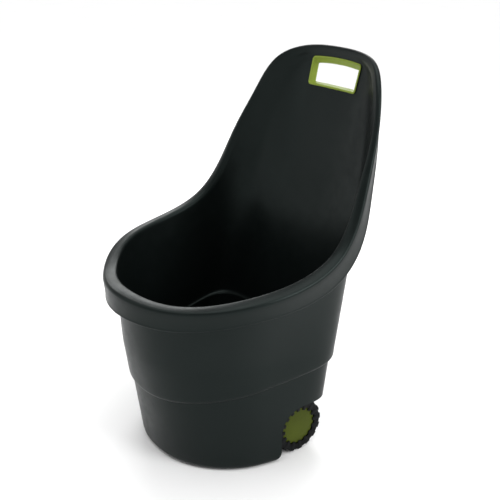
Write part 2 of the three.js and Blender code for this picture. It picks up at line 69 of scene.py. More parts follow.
BOSS_R, BOSS_FROM, BOSS_TO, RUN = 13.0, 110.0, 138.0, 0.3
RIB_X, RIB_HALF_T = (-121.0, -46.0, 46.0, 121.0), 2.0
GRIP_Z, GRIP_TOP, GRIP_BOT, GRIP_H = 778.3, 77.9, 76.5, 32.0
GRIP_ARCH, GRIP_CORNER, GRIP_DEPTH, GRIP_GAP = 3.6, 9.0, 10.0, 0.7
HOLE_IN = 4.2                             # the hand hole is this much smaller than the grip's flange
COLUMNS = 360      # round the tub

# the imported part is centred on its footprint, so the axle says where this frame sits
AXLE_LO, AXLE_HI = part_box("axle")
Y_SHIFT = (AXLE_LO.y + AXLE_HI.y) / 2 - AXLE_Y / 1000.0
Z_SHIFT = (AXLE_LO.z + AXLE_HI.z) / 2 - AXLE_Z / 1000.0


def metres(points):
    """Points in mm, in the frame used below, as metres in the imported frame."""
    p = np.asarray(points, float) / 1000.0
    return p + np.array([0.0, Y_SHIFT, Z_SHIFT])


# ---------------------------------------------------------------- tub surface
def spow(v, e):
    return np.sign(v) * np.abs(v) ** e


def ring_point(th, z, o):
    """Plan point of the lower wall, offset o outwards, at height z and superellipse angle th."""
    w = BASE_HALF_W + o + 0 * z
    yf, yr = BASE_FRONT - DRAFT_FRONT * z - o, BASE_REAR + DRAFT_REAR * z + o
    c, s = np.cos(th), np.sin(th)
    n = np.where(s < 0, PLAN_N_FRONT, PLAN_N_REAR)
    sy = spow(s, 2 / n)
    return w * spow(c, 2 / n) * (1 + PLAN_TAPER * sy), (yf + yr) / 2 + (yr - yf) / 2 * sy


def ring_radius(al, z, o):
    """The same wall's distance from the origin at bearing al, found by bisection."""
    al, z, o = np.broadcast_arrays(np.abs(np.asarray(al, float)), np.asarray(z, float), np.asarray(o, float))
    lo, hi = np.full(al.shape, -math.pi / 2), np.full(al.shape, math.pi / 2)
    for _ in range(44):
        t = (lo + hi) / 2
        x, y = ring_point(t, z, o)
        less = np.arctan2(x, -y) < al
        lo, hi = np.where(less, t, lo), np.where(less, hi, t)
    x, y = ring_point((lo + hi) / 2, z, o)
    return np.hypot(x, y)


rim_all = np.array(RIM + [(-r[0],) + r[1:] for r in RIM[-2:0:-1]], float)
H = np.sqrt(np.linalg.norm(np.roll(rim_all, -1, 0)[:, :3] - rim_all[:, :3], axis=1))
KNOTS = np.concatenate([[0], np.cumsum(H)])


def curvatures():
    """Second derivatives at the knots of the closed cubic spline through the rim points."""
    n = len(rim_all)
    A, B = np.zeros((n, n)), np.zeros((n, 5))
    for i in range(n):
        im, ip = (i - 1) % n, (i + 1) % n
        A[i, i] = 2 * (H[im] + H[i])
        A[i, im], A[i, ip] = H[im], H[i]
        B[i] = 6 * ((rim_all[ip] - rim_all[i]) / H[i] - (rim_all[i] - rim_all[im]) / H[im])
    return np.linalg.solve(A, B)


MOM = curvatures()


def rim_at(t):
    """x, y, z, flange width and skirt depth of the rim line at spline value t."""
    t = np.mod(np.asarray(t, float), KNOTS[-1])
    i = np.clip(np.searchsorted(KNOTS, t, side="right") - 1, 0, len(rim_all) - 1)
    ip = (i + 1) % len(rim_all)
    a = ((KNOTS[i + 1] - t) / H[i])[..., None]
    b = 1 - a
    h2 = (H[i] ** 2)[..., None] / 6
    return a * rim_all[i] + b * rim_all[ip] + ((a ** 3 - a) * MOM[i] + (b ** 3 - b) * MOM[ip]) * h2


T_TOP = KNOTS[len(RIM) - 1]
TAB_T = np.linspace(0, T_TOP, 1441)
TAB = rim_at(TAB_T)
TAB_AL = np.arctan2(np.maximum(TAB[:, 0], 0), -TAB[:, 1])
TAB_AL[-1] = math.pi
TAB_LEN = np.concatenate([[0], np.cumsum(np.linalg.norm(np.diff(TAB[:, :3], axis=0), axis=1))])
BACK = TAB[:, 2] > DISH_FROM
BACK_Z, BACK_X = TAB[BACK, 2], TAB[BACK, 0]


def smooth(u):
    u = np.clip(u, 0, 1)
    return u * u * (3 - 2 * u)


def body_point(al, z, o, dish=DISH):
    """Point of the body wall at bearing al (0 at the front), height z, offset o from the lower wall."""
    al, z, o = np.broadcast_arrays(np.asarray(al, float), np.asarray(z, float), np.asarray(o, float))
    m = np.minimum(np.abs(al), 2 * math.pi - np.abs(al))
    r = rim_at(np.interp(m, TAB_AL, TAB_T))
    gap = np.hypot(r[..., 0], r[..., 1]) - ring_radius(m, r[..., 2], STEP_OUT)
    u = np.clip((z - FLARE_FROM) / (r[..., 2] - FLARE_FROM), 0, 1.1)
    rad = ring_radius(m, z, o) + gap * u ** FLARE_POWER
    side = np.interp(z, BACK_Z, BACK_X) - rad * np.sin(m)
    rad = rad + (dish * smooth((z - DISH_FROM) / DISH_RISE)
                 * smooth((r[..., 2] - z - DISH_TOP) / DISH_TOP_RUN)
                 * smooth((side - DISH_SIDE) / DISH_SIDE_RUN))
    return np.stack([rad * np.sin(al), -rad * np.cos(al), z], -1)


# columns keep the rim's bearings up to BEND of its length, then spread evenly along the body wall
RING_AL = np.linspace(0, math.pi, 721)
ring_r = ring_radius(RING_AL, STEP_Z, 0.0)
ring_xy = np.stack([ring_r * np.sin(RING_AL), -ring_r * np.cos(RING_AL)], -1)
RING_LEN = np.concatenate([[0], np.cumsum(np.linalg.norm(np.diff(ring_xy, axis=0), axis=1))])
BEND = 0.45
AL_BEND = float(np.interp(TAB_LEN[-1] * BEND, TAB_LEN, TAB_AL))
LEN_BEND = float(np.interp(AL_BEND, RING_AL, RING_LEN))


def arc(n, r, a0, a1):
    """n + 1 points on a circle of radius r, degrees from a0 to a1."""
    a = np.radians(np.linspace(a0, a1, n + 1))
    return list(zip(r * np.cos(a), r * np.sin(a)))


def tub_rows():
    """Rows of points, one per column: the closed wall section from the middle of the base, up the
    outside, over the rim and down the inside to the floor of the tub. At the rim, A is a point of the
    rim line, T runs along it, F faces out across it and W points down the skirt."""
    half = COLUMNS // 2
    f = np.arange(half + 1) / half
    t = np.interp(f * TAB_LEN[-1], TAB_LEN, TAB_T)
    R = rim_at(t)
    A, b, hs = R[:, :3], R[:, 3], R[:, 4]
    al = np.arctan2(np.maximum(A[:, 0], 0), -A[:, 1])
    al[-1] = math.pi
    T = rim_at(t + 0.02)[:, :3] - rim_at(t - 0.02)[:, :3]
    T /= np.linalg.norm(T, axis=1)[:, None]
    e = 0.01
    pa, pb, pc, pd = (body_point(a, A[:, 2] - dz, STEP_OUT, 0.0)
                      for a, dz in ((al - e, 4), (al + e, 4), (al, 10), (al, 4)))
    ns = np.cross(pb - pa, pd - pc)
    ns /= np.linalg.norm(ns, axis=1)[:, None]
    ns *= np.sign((ns[:, :2] * A[:, :2]).sum(1))[:, None]
    F = ns - (ns * T).sum(1)[:, None] * T
    F /= np.linalg.norm(F, axis=1)[:, None]
    W = np.cross(T, F)
    W /= np.linalg.norm(W, axis=1)[:, None]

    rf = np.minimum(5, (b - WALL) * 0.42)
    ri = np.minimum(RIM_ROLL_R, (b + WALL) * 0.5)
    ro = np.minimum(RIM_EDGE_R, b * 0.4)
    crown = 0.035 * (b - ro + WALL - ri)
    lean = -0.06 * hs
    tan = np.stack([np.cos(al), np.sin(al), 0 * al], -1)
    al_e = al + RIM_ENTRY * (W * tan).sum(1) / np.hypot(A[:, 0], A[:, 1])
    z_e = A[:, 2] + RIM_ENTRY * W[:, 2]
    even = LEN_BEND + (RING_LEN[-1] - LEN_BEND) * (f - BEND) / (1 - BEND)
    al0 = np.where(f < BEND, al, np.interp(even, RING_LEN, RING_AL))
    al0[-1] = math.pi
    P = []

    def q(z, o):
        P.append(body_point(al0, z + 0 * al0, o + 0 * al0))

    def edge(a, w):
        P.append(A + np.asarray(a + 0 * b)[:, None] * F + np.asarray(w + 0 * b)[:, None] * W)

    zs = STEP_Z + STEP_SLOPE * body_point(al0, STEP_Z, 0.0)[:, 1]
    z0 = zs + 9
    centre = np.tile([0.0, (BASE_FRONT + BASE_REAR) / 2, 0.0], (half + 1, 1))
    P.append(centre)
    for k in (0.2, 0.45, 0.7, 0.9):
        ring = body_point(al0, 0 * al0, -BASE_ROUND + 0 * al0)
        P.append(centre + (ring - centre) * k)
    for x, y in arc(7, BASE_ROUND, 90, 0):
        q(BASE_ROUND - y, x - BASE_ROUND)
    for u in (0.12, 0.3, 0.5, 0.7, 0.88):
        q(BASE_ROUND + (zs - BASE_ROUND) * u, 0)
    for dz, o in ((-2.0, 0), (-0.5, 0), (-0.1, 0.15), (0.15, 0.6)):
        q(zs + dz, o)
    for x, y in arc(8, 1.0, -84, 0):                      # the bulge over the ledge
        q(zs + 0.3 + 8.7 * (1 + y), 1.0 + (STEP_OUT - 1.0) * x)
    rows = 30
    path = [1 - (1 - i / rows) ** 1.35 for i in range(1, rows + 1)]
    for u in path:
        P.append(body_point(al0 + (al_e - al0) * smooth(u), z0 + (z_e - z0) * u, STEP_OUT))
    for x, y in arc(4, 1.0, 180, 90):                     # fillet under the flange
        edge(rf * (1 + x), WALL + rf * (1 - y))
    for k in (0.33, 0.66):
        edge(rf + (b - WALL - 1.2 - rf) * k, WALL)
    for a, w in ((1.0, 0), (0.3, 0.3), (0, 1.0)):
        edge(b - WALL - a, WALL + w)
    for k in (0.35, 0.7):
        edge(b - WALL + lean * k, WALL + 1.0 + (hs - WALL - 1.0 - 3.4) * k)
    lip = np.minimum(1.0, hs * 0.05)                      # rounded bead along the skirt's lower edge
    cx, cw, rr = b + lean - WALL * 0.5 + lip * 0.5, hs - WALL * 0.5 - 0.4, WALL * 0.5 + lip * 0.5
    for x, y in arc(8, 1.0, 170, 5):
        edge(cx + rr * x, cw + rr * y)
    edge(b + lean * (1 - 4.5 / hs) + 0.1, hs - 4.6)
    edge(b + lean * (1 - 7.0 / hs), hs - 7.0)
    for k in (0.72, 0.5, 0.25):
        edge(b + lean * k, ro + (hs - 7.0 - ro) * k)
    for x, y in arc(9, 1.0, 0, 90):
        edge(b - ro + ro * x, ro - ro * y)
    for k in (0.17, 0.34, 0.5, 0.66, 0.83):
        edge((b - ro) + (-WALL + ri - (b - ro)) * k, -crown * 4 * k * (1 - k))
    for x, y in arc(9, 1.0, 90, 180):                     # broad inner roll
        edge(-WALL + ri + ri * x, ri - ri * y)
    for u in path[::-1]:
        P.append(body_point(al0 + (al_e - al0) * smooth(u), z0 + (z_e - z0) * u, STEP_OUT - WALL))
    for x, y in arc(6, 1.0, 0, -84):
        q(zs - 0.6 + 8.0 * (1 + y), 1.0 - WALL + (STEP_OUT - 1.0) * x)
    for dz, o in ((1.2, 0.5), (2.2, 0.1), (4.5, 0)):
        q(zs - dz, o - WALL)
    for u in (0.8, 0.6, 0.4, 0.2):
        q(16 + (zs - 16) * u, -WALL)
    for x, y in arc(6, 12.0, 0, -90):
        q(WALL + 12 + y, -WALL - 12 + x)
    floor = centre + [0, 0, WALL]
    ring = body_point(al0, 0 * al0, -WALL - 12 + 0 * al0)
    for k in (0.8, 0.6, 0.4, 0.2):
        P.append(floor + (ring - centre) * k)
    P.append(floor)
    right = np.stack(P, 1)                                # column, point, xyz
    left = right[-2:0:-1] * [-1, 1, 1]
    return np.concatenate([right, left])


# ---------------------------------------------------------------- mesh helpers
def mesh_object(name, verts, faces):
    me = bpy.data.meshes.new(name)
    me.from_pydata([tuple(v) for v in verts], [], faces)
    me.update()
    ob = bpy.data.objects.new(name, me)
    bpy.context.scene.collection.objects.link(ob)
    return ob


def skin(name, rows, capped):
    """Closed skin from rows[i][j]; capped rows start and end on shared poles."""
    rows = metres(rows)
    n, k = rows.shape[:2]
    if capped:
        verts = [rows[0, 0], rows[0, -1]] + list(rows[:, 1:-1].reshape(-1, 3))
        vid = lambda i, j: 0 if j == 0 else 1 if j == k - 1 else 2 + (i % n) * (k - 2) + j - 1
    else:
        verts = list(rows.reshape(-1, 3))
        vid = lambda i, j: (i % n) * k + j % k
    faces = []
    for i in range(n):
        for j in range(k - 1 if capped else k):
            f = []
            for v in (vid(i, j), vid(i + 1, j), vid(i + 1, j + 1), vid(i, j + 1)):
                if v not in f:
                    f.append(v)
            if len(f) > 2:
                faces.append(f)
    ob = mesh_object(name, verts, faces)
    face_out(ob)
    return ob


def face_out(ob):
    """Turns every face outwards."""
    bm = bmesh.new()
    bm.from_mesh(ob.data)
    bmesh.ops.recalc_face_normals(bm, faces=bm.faces)
    if bm.calc_volume(signed=True) < 0:
        bmesh.ops.reverse_faces(bm, faces=bm.faces)
    bm.to_mesh(ob.data)
    bm.free()


def lathe(name, profile, segments, side=1):
    """Solid of revolution round the axle: profile of (radius, x), closed on itself."""
    a = np.linspace(0, 2 * math.pi, segments, endpoint=False)
    r, x = np.array(profile, float).T
    on_axis = r[0] < 1e-6 and r[-1] < 1e-6
    rows = np.stack([np.stack([side * x, AXLE_Y + r * math.cos(t), AXLE_Z + r * math.sin(t)], -1) for t in a])
    return skin(name, rows, on_axis)


def prism_faces(n):
    """Faces of a prism whose vertices are two matching rings of n."""
    sides = [[i, (i + 1) % n, n + (i + 1) % n, n + i] for i in range(n)]
    return [list(range(n))[::-1], list(range(n, 2 * n))] + sides


def prism_x(name, outline, x0, x1):
    """Prism along X from an outline of (y, z)."""
    verts = metres([[x, y, z] for x in (x0, x1) for y, z in outline])
    ob = mesh_object(name, verts, prism_faces(len(outline)))
    bm = bmesh.new()
    bm.from_mesh(ob.data)
    bmesh.ops.triangulate(bm, faces=[f for f in bm.faces if len(f.verts) > 4])
    bm.to_mesh(ob.data)
    bm.free()
    face_out(ob)
    return ob


def boolean(target, tool, operation, keep_tool=False):
    """Applies a boolean of tool to target, which is returned; the tool is removed unless kept."""
    mod = target.modifiers.new("b", "BOOLEAN")
    mod.operation, mod.object, mod.solver = operation, tool, "MANIFOLD"
    apply_modifiers(target)
    if not keep_tool:
        remove(tool)
    return target


def remove(ob):
    me = ob.data
    bpy.data.objects.remove(ob)
    bpy.data.meshes.remove(me)


def apply_modifiers(ob):
    bpy.context.view_layer.update()
    dg = bpy.context.evaluated_depsgraph_get()
    me = bpy.data.meshes.new_from_object(ob.evaluated_get(dg))
    old = ob.data
    ob.modifiers.clear()
    ob.data = me
    bpy.data.meshes.remove(old)


def shade(ob, angle=32.0):
    """Smooth shading, with edges sharper than angle left hard."""
    me = ob.data
    me.shade_smooth()
    bm = bmesh.new()
    bm.from_mesh(me)
    lim = math.radians(angle)
    for e in bm.edges:
        e.smooth = len(e.link_faces) == 2 and e.calc_face_angle(0) < lim
    bm.to_mesh(me)
    bm.free()
    me.update()


def join(target, others):
    """Merges separate closed shells into one object."""
    bm = bmesh.new()
    bm.from_mesh(target.data)
    for o in others:
        bm.from_mesh(o.data)
        remove(o)
    bm.to_mesh(target.data)
    bm.free()


def circle_yz(cy, cz, r, a0, a1, n):
    """n + 1 points (y, z) on a circle, degrees from a0 to a1."""
    a = np.radians(np.linspace(a0, a1, n + 1))
    return [(cy + r * math.cos(t), cz + r * math.sin(t)) for t in a]


# ---------------------------------------------------------------- tub
def body_solid(name, o, z0, z1):
    """Solid body from z0 to z1, its wall offset o; a z0 below the floor leaves out the base's round."""
    n = COLUMNS
    al = -math.pi + 2 * math.pi * np.arange(n) / n
    low = np.tile([0.0, -50.0, z0], (n, 1))
    top = np.tile([0.0, -50.0, z1], (n, 1))
    if z0 < 0:
        first = body_point(al, 0.0, o)
        first[:, 2] = z0
        mid = [first]
    else:
        mid = []
        for x, y in arc(7, BASE_ROUND, 90, 0):
            p = body_point(al, max(BASE_ROUND - y, 0.0), o + x - BASE_ROUND)
            p[:, 2] = max(BASE_ROUND - y, z0)
            mid.append(p)
    return skin(name, np.stack([low] + mid + [body_point(al, z1, o), top], 1), True)


def bay_outline(g):
    """(y, z) outline of the wheel bay under the rear, g larger than its hollow."""
    a = [(y, min(z, BAY_ROOF + g)) for y, z in circle_yz(BAY_FRONT + 58, 84, 58 + g, 168, 96, 16)]
    front = [(BAY_FRONT - g, -20), (BAY_FRONT - g, 84)]
    return front + a + [(30, BAY_ROOF + g), (330, BAY_ROOF + g), (330, -20)]


# (y, z) outline cut from both sides of the tub for the wheels
ARCH = ([(-41, -20)] + circle_yz(-39, 26, 24, -90, 0, 12) + circle_yz(45, 68, 60, 180, 96, 20)
        + [(70, 128.5), (330, 129.1), (330, -20)])


def panel_y(x, z, o):
    """y of the rear wall, offset o, at (x, z), found by bisection."""
    x = np.abs(np.asarray(x, float))
    z = np.asarray(z, float) + 0 * x
    lo, hi = np.full(x.shape, math.pi * 0.7), np.full(x.shape, math.pi)
    for _ in range(40):
        m = (lo + hi) / 2
        more = body_point(m, z, o)[..., 0] > x
        lo, hi = np.where(more, m, lo), np.where(more, hi, m)
    return body_point((lo + hi) / 2, z, o)[..., 1]


FACE = STEP_OUT - WALL                    # offset of the panel's front face
LEAN = math.atan(float(panel_y(0.0, GRIP_Z + 25, FACE) - panel_y(0.0, GRIP_Z - 25, FACE)) / 50)
BEHIND = np.array([0, math.cos(LEAN), -math.sin(LEAN)])


def hand_outline(inset, top_drop=0.0, bot_rise=0.0, steps=10):
    """Rounded trapezoid with an arched top, as matched points (x, v)."""
    T, B = GRIP_TOP - inset, GRIP_BOT - inset
    h1, h0 = GRIP_H - inset - top_drop, -GRIP_H + inset + bot_rise
    r, a = max(GRIP_CORNER - inset, 3.5), GRIP_ARCH
    pts = []

    def line(p, q, n):
        for i in range(n):
            pts.append((p[0] + (q[0] - p[0]) * i / n, p[1] + (q[1] - p[1]) * i / n))

    def quad(p, c, q, n):
        for i in range(n):
            u = i / n
            pts.append(tuple((1 - u) ** 2 * p[k] + 2 * u * (1 - u) * c[k] + u * u * q[k] for k in (0, 1)))

    slope = (T - B) * 0.1
    p0, p1 = (-B + r, h0), (B - r, h0)
    p2, p3 = (B + slope, h0 + r), (T, h1 - r)
    p4, p5 = (T - r, h1 + a * 0.2), (-T + r, h1 + a * 0.2)
    p6, p7 = (-T, h1 - r), (-B - slope, h0 + r)
    line(p0, p1, 16)
    quad(p1, (B, h0), p2, steps)
    line(p2, p3, 8)
    quad(p3, (T + 0.3, h1), p4, steps)
    quad(p4, (0, h1 + a * 2), p5, 24)
    quad(p5, (-T - 0.3, h1), p6, steps)
    line(p6, p7, 8)
    quad(p7, (-B, h0), p0, steps)
    return np.array(pts)


def on_panel(p, w):
    """Points p = (across, up) from the grip's middle, w behind the panel's face."""
    p = np.asarray(p, float)
    z = GRIP_Z + p[:, 1] * math.cos(LEAN)
    return np.stack([p[:, 0], panel_y(p[:, 0], z, FACE), z], -1) + w * BEHIND


def make_tub():
    tub = skin("tub_moulding", tub_rows(), True)
    wall = boolean(prism_x("bay", bay_outline(WALL), -260, 260),
                   body_solid("bay_limit", -0.6, 0.01, 190), "INTERSECT")
    hollow = boolean(prism_x("hollow", bay_outline(0.0), -260, 260),
                     body_solid("hollow_limit", -WALL, -30, 188), "INTERSECT")
    boolean(tub, wall, "UNION")
    boolean(tub, hollow, "DIFFERENCE")
    boolean(tub, prism_x("arch", ARCH, -300, 300), "DIFFERENCE")
    inside = prism_x("inside", bay_outline(WALL * 0.5), -200, 200)
    rib = ([(BAY_FRONT - 2, BAY_ROOF + 2), (BAY_FRONT - 2, 46)]
           + circle_yz(AXLE_Y, AXLE_Z, BOSS_R, 228, 360, 16)
           + [(AXLE_Y + 14, 74), (AXLE_Y + 19, 88), (AXLE_Y + 26, 100), (AXLE_Y + 50, BAY_ROOF + 2)])
    for x in RIB_X:
        plate = prism_x("rib", rib, x - RIB_HALF_T, x + RIB_HALF_T)
        boolean(tub, boolean(plate, inside, "INTERSECT", keep_tool=True), "UNION")
    remove(inside)
    boss = [(0, BOSS_FROM), (BOSS_R - 1, BOSS_FROM), (BOSS_R, BOSS_FROM + 1),
            (BOSS_R, BOSS_TO - 1), (BOSS_R - 1, BOSS_TO), (0, BOSS_TO)]
    for s in (-1, 1):
        boolean(tub, lathe("boss", boss, 64, s), "UNION")
    end = BOSS_TO + 5
    bore = [(0, -end), (AXLE_R + RUN, -end), (AXLE_R + RUN, end), (0, end)]
    boolean(tub, lathe("bore", bore, 48), "DIFFERENCE")
    o = hand_outline(HOLE_IN)
    middle = 0 * o
    rows = np.stack([on_panel(p, w) for p, w in ((middle, -25), (o, -25), (o, 30), (middle, 30))], 1)
    boolean(tub, skin("hole", rows, True), "DIFFERENCE")
    shade(tub, 34)
    return tub


# section of the grip frame: inset of its outline, drop of the top, rise of the bottom, depth behind
# the panel's face; round the flange on the panel, in through the hole and back along its wall
GRIP_SECTION = [
    (0.5, 0, 0, -GRIP_GAP), (0.1, 0, 0, -1.0), (0, 0, 0, -1.4), (0.1, 0, 0, -2.0), (0.5, 0, 0, -2.6),
    (1.1, 0, 0, -2.9), (2.2, 0, 0, -3.0), (3.2, 0, 0, -2.9), (4.0, 0.1, 0, -2.5), (4.6, 0.3, 0, -1.8),
    (5.2, 0.6, -0.2, -0.8), (6.4, 1.3, -0.5, 1.1), (7.6, 2.0, -0.8, 3.0), (8.9, 2.8, -1.1, 4.8),
    (10.0, 3.4, -1.3, 6.5), (10.5, 3.5, -1.4, 8.0), (10.4, 3.5, -1.3, 9.2), (9.8, 3.6, -1.2, GRIP_DEPTH),
    (HOLE_IN + 0.9, 0, 0, GRIP_DEPTH), (HOLE_IN + 0.5, 0, 0, GRIP_DEPTH - 0.5),
    (HOLE_IN + 0.5, 0, 0, -GRIP_GAP),
]


def make_grip():
    rows = [on_panel(hand_outline(inset, drop, rise), w) for inset, drop, rise, w in GRIP_SECTION]
    g = skin("grip_frame", np.stack(rows, 1), False)
    for x, s in ((-40, 1), (40, 1), (-40, -1), (40, -1)):           # snap barbs above and below
        y0 = GRIP_H - HOLE_IN - 1.5 + GRIP_ARCH * 0.85 if s > 0 else -GRIP_H + HOLE_IN + 1.5
        prof = [(0, 3.9), (s * 2.8, 3.9), (s * 3.2, 4.4), (s * 0.8, 9.5), (0, 9.5)]     # (up, behind)
        ends = [on_panel([(x + dx, y0 + v)], w)[0] for dx in (-7, 7) for v, w in prof]
        ob = mesh_object("barb", metres(ends), prism_faces(len(prof)))
        face_out(ob)
        boolean(g, ob, "UNION")
    shade(g, 40)
    return g


# ---------------------------------------------------------------- wheels
def bevelled_box(name, v, bevel):
    """Six-sided block from its eight corners, in pairs, with rounded edges."""
    faces = [[0, 1, 3, 2], [4, 6, 7, 5], [0, 4, 5, 1], [2, 3, 7, 6], [0, 2, 6, 4], [1, 5, 7, 3]]
    ob = mesh_object(name, metres(v), faces)
    face_out(ob)
    m = ob.modifiers.new("bevel", "BEVEL")
    m.width, m.segments, m.limit_method = bevel / 1000.0, 2, "NONE"
    apply_modifiers(ob)
    return ob


def make_tyre(side, name):
    """Moulded tread ring: staggered blocks on the tread, teeth round the hub cover."""
    base_r = TYRE_R - LUG_H
    bore_r = CORE_R + 0.4
    prof = [(bore_r, TYRE_IN + 0.5), (48, TYRE_IN + 0.1), (base_r - 3, TYRE_IN), (base_r - 1, TYRE_IN + 0.7),
            (base_r, TYRE_IN + 2.5), (base_r, WHEEL_X - 7), (base_r, WHEEL_X), (base_r, WHEEL_X + 7),
            (base_r, TYRE_OUT - 2.5), (base_r - 1, TYRE_OUT - 0.7), (base_r - 3, TYRE_OUT),
            (52, TYRE_OUT - 0.2), (49, TYRE_OUT - 0.6), (LIP_R + 1, TYRE_OUT - 0.7), (LIP_R, TYRE_OUT - 1.1),
            (LIP_R, TYRE_OUT - 1.9), (bore_r, TYRE_OUT - 1.9)]
    ty = lathe(name, prof, 160, side)

    def block(a_mid, half_a, r0, r1, x0, x1, taper=0.8, skew=0.0, bevel=0.7):
        """Lug from radius r0 to r1 and from x0 to x1, half_a wide either way, narrower at the top."""
        v = []
        for r, k in ((r0, 1.0), (r1, taper)):
            for x in (x0, x1):
                xm = (x0 + x1) / 2 + (x - (x0 + x1) / 2) * (1.0 if k == 1.0 else 0.93)
                for s in (-1, 1):
                    a = a_mid + s * half_a * k + skew * (x - (x0 + x1) / 2) / (x1 - x0)
                    v.append((side * xm, AXLE_Y + r * math.cos(a), AXLE_Z + r * math.sin(a)))
        return bevelled_box("lug", v, bevel)

    step = 2 * math.pi / LUGS
    half, root = step * 0.27, base_r - 1.5
    blocks = []
    for i in range(LUGS):
        a = (i + 0.16) * step
        blocks.append(block(a, half, root, TYRE_R, WHEEL_X + 1.4, TYRE_OUT - 0.1, skew=0.05))
        blocks.append(block(a + step / 2, half, root, TYRE_R, TYRE_IN + 0.1, WHEEL_X - 1.4, skew=-0.05))
        # shoulder lug running down the side, ending as a tooth over the hub cover
        blocks.append(block(a, step * 0.25, TOOTH_R, base_r + 1.5, TYRE_OUT - 1.9, TYRE_OUT,
                            taper=1.0, bevel=0.6))
    join(ty, blocks)
    shade(ty, 38)
    return ty


def make_core(side, name):
    """Wheel body: hub tube, web with spokes and round holes, and the rim that carries the tyre."""
    prof = [(AXLE_R + RUN, CORE_IN), (11.4, CORE_IN), (12, CORE_IN + 0.6), (12.6, 156), (13.8, 162.5),
            (16, 164.2), (26, 165.1), (36, 165.7), (39.2, 164.6), (41, 161.5), (43.2, 154.1), (43.8, 153.5),
            (CORE_R - 0.5, 153.5), (CORE_R, 154), (CORE_R, 187.5), (CORE_R - 0.5, 188),
            (44.5, 188), (44, 187.5), (43.4, 175), (40.5, 173.2), (36, 172.4), (16, 171.6), (13.8, 172.6), (12.8, 175),
            (12, CORE_OUT - 0.6), (11.4, CORE_OUT), (AXLE_R + RUN, CORE_OUT)]
    core = lathe(name, prof, 96, side)
    for i in range(SPOKES):
        a = i * 2 * math.pi / SPOKES
        c, s = math.cos(a), math.sin(a)
        v = []
        for x in (155.5, 166.5):
            for r, w in ((12, 1.8), (42, 1.4)):
                for k in (-1, 1):
                    y, z = r * c - k * w * s, r * s + k * w * c
                    v.append((side * (x + (1.5 if r > 20 and x < 161 else 0)), AXLE_Y + y, AXLE_Z + z))
        boolean(core, bevelled_box("spoke", v, 0.5), "UNION")
    t = np.linspace(0, 2 * math.pi, 40, endpoint=False)
    circle = np.stack([0 * t, np.cos(t), np.sin(t)], -1)
    for i in range(SPOKES):
        a = (i + 0.5) * 2 * math.pi / SPOKES
        middle = np.array([0, AXLE_Y + WEB_HOLE_AT * math.cos(a), AXLE_Z + WEB_HOLE_AT * math.sin(a)])
        rows = [middle + r * circle + [side * x, 0, 0]
                for r, x in ((0, 156), (WEB_HOLE_R, 156), (WEB_HOLE_R, 178), (0, 178))]
        boolean(core, skin("web_hole", np.stack(rows, 1), True), "DIFFERENCE")
    shade(core, 36)
    return core


def make_cover(side, name):
    """Shallow crowned cap with a skirt that snaps into the wheel's rim."""
    r, back = COVER_R, COVER_BACK
    prof = [(0, 192.3), (6, 192.28), (14, 192.2), (22, 192.05), (30, 191.8), (36, 191.45), (39.6, 191.0),
            (r - 0.7, 190.6), (r - 0.2, 190.4), (r, 189.9), (r, back + 0.4), (r - 0.4, back),
            (42.0, back), (41.6, back + 0.4), (41.6, 189.2), (30, 189.4), (0, 189.7)]
    ob = lathe(name, prof, 128, side)
    shade(ob, 40)
    return ob


# ---------------------------------------------------------------- materials
def new_material(name):
    m = bpy.data.materials.new(name)
    m.use_nodes = True
    nt = m.node_tree
    return m, nt, nt.nodes["Principled BSDF"]


def add(nt, kind, **props):
    n = nt.nodes.new(kind)
    for k, v in props.items():
        if k in n.inputs:
            n.inputs[k].default_value = v
        else:
            setattr(n, k, v)
    return n


def ramp(nt, src, stops):
    """Colour ramp on a socket; a stop is (position, grey or colour)."""
    r = nt.nodes.new("ShaderNodeValToRGB")
    els = r.color_ramp.elements
    while len(els) > len(stops):
        els.remove(els[-1])
    while len(els) < len(stops):
        els.new(1.0)
    for e, (p, c) in zip(els, stops):
        e.position = p
        e.color = (c, c, c, 1) if isinstance(c, (int, float)) else (*c, 1)
    nt.links.new(src, r.inputs["Fac"])
    return r.outputs["Color"]


DUST, ROUGH_VAR = (0.35, 0.34, 0.32), 0.06


